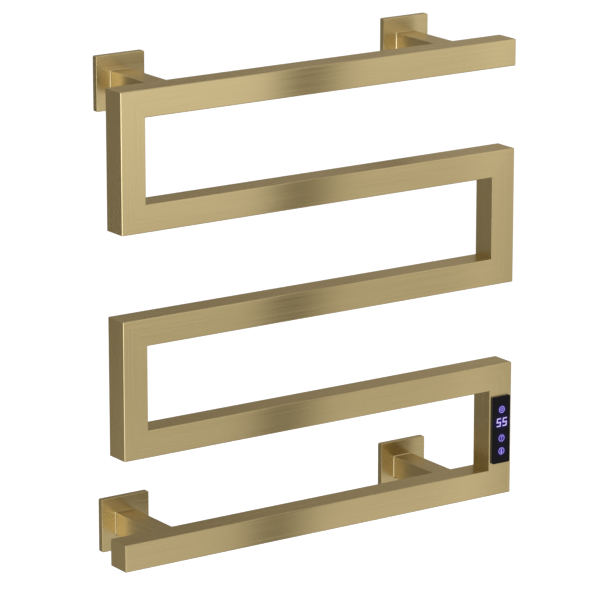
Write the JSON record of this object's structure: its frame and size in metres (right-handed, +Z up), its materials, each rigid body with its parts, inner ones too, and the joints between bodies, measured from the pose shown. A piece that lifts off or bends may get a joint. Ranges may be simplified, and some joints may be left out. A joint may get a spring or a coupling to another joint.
{
  "type": "towel warmer rack",
  "caption": "Wall-hung electric towel warmer: square brass-coloured tube folded into an S of bars, held on standoffs with sliding cover plates, with a touch panel in an upright.",
  "frame": {"origin": "on the wall plane, at the centre of the four wall fixings", "axes": "+X to the right as seen from the room, +Y into the wall, +Z up; the bars and the touch panel face -Y"},
  "size_m": [0.51, 0.121, 0.55],
  "materials": {
    "brass_finish": "brushed, brass coloured coating on stainless steel",
    "plated_steel": "zinc plated",
    "screw_steel": "plain",
    "grommet_rubber": "matt",
    "black_glass": "polished, back painted black",
    "adhesive_foam": "foam tape",
    "tray_plastic": "fine texture",
    "board_green": "solder mask",
    "display_face": "diffusing",
    "lamp_lens": "clear lens",
    "spring_steel": "plain",
    "relay_case": "moulded",
    "supply_case": "taped winding",
    "terminal_plastic": "moulded",
    "red_lead": "PVC insulation",
    "brown_lead": "PVC insulation",
    "heater_silicone": "silicone rubber",
    "probe_steel": "drawn",
    "cutout_ceramic": "glazed",
    "tag_brass": "stamped"
  },
  "bodies": {
    "rack": {"top_bar": "brass_finish", "second_bar": "brass_finish", "middle_bar": "brass_finish", "fourth_bar": "brass_finish", "bottom_bar": "brass_finish", "upper_left_upright": "brass_finish", "upper_right_upright": "brass_finish", "lower_left_upright": "brass_finish", "control_upright": "brass_finish", "top_bar_end_plate": "brass_finish", "bottom_bar_end_plate": "brass_finish", "top_left_standoff": "brass_finish", "top_right_standoff": "brass_finish", "bottom_left_standoff": "brass_finish", "bottom_right_standoff": "brass_finish", "top_left_wall_plate": "plated_steel", "top_right_wall_plate": "plated_steel", "bottom_left_wall_plate": "plated_steel", "bottom_right_wall_plate": "plated_steel", "top_left_boss": "plated_steel", "top_right_boss": "plated_steel", "bottom_left_boss": "plated_steel", "bottom_right_boss": "plated_steel", "grub_screws": "screw_steel", "wall_grommet": "grommet_rubber", "bar_grommet": "grommet_rubber", "earth_stud": "screw_steel", "earth_tag": "tag_brass", "earth_nut": "screw_steel", "touch_glass": "black_glass", "glass_adhesive": "adhesive_foam", "control_tray": "tray_plastic", "control_board": "board_green", "board_screws": "screw_steel", "digit_display": "display_face", "key_lamps": "lamp_lens", "touch_springs": "spring_steel", "heater_relay": "relay_case", "power_supply": "supply_case", "heater_terminal": "terminal_plastic", "supply_terminal": "terminal_plastic", "heater_leads": "red_lead", "supply_leads": "brown_lead", "upper_heating_cable": "heater_silicone", "lower_heating_cable": "heater_silicone", "temperature_sensor": "probe_steel", "overheat_cutout": "cutout_ceramic"},
    "top_left_cover": {"top_left_cover": "brass_finish"},
    "top_right_cover": {"top_right_cover": "brass_finish"},
    "bottom_left_cover": {"bottom_left_cover": "brass_finish"},
    "bottom_right_cover": {"bottom_right_cover": "brass_finish"}
  },
  "joints": [
    {"name": "top_left_cover_slide", "type": "slide", "parent": "rack", "child": "top_left_cover", "axis": [0, -1, 0], "range_m": [0, 0.076]},
    {"name": "top_right_cover_slide", "type": "slide", "parent": "rack", "child": "top_right_cover", "axis": [0, -1, 0], "range_m": [0, 0.076]},
    {"name": "bottom_left_cover_slide", "type": "slide", "parent": "rack", "child": "bottom_left_cover", "axis": [0, -1, 0], "range_m": [0, 0.076]},
    {"name": "bottom_right_cover_slide", "type": "slide", "parent": "rack", "child": "bottom_right_cover", "axis": [0, -1, 0], "range_m": [0, 0.076]}
  ]
}
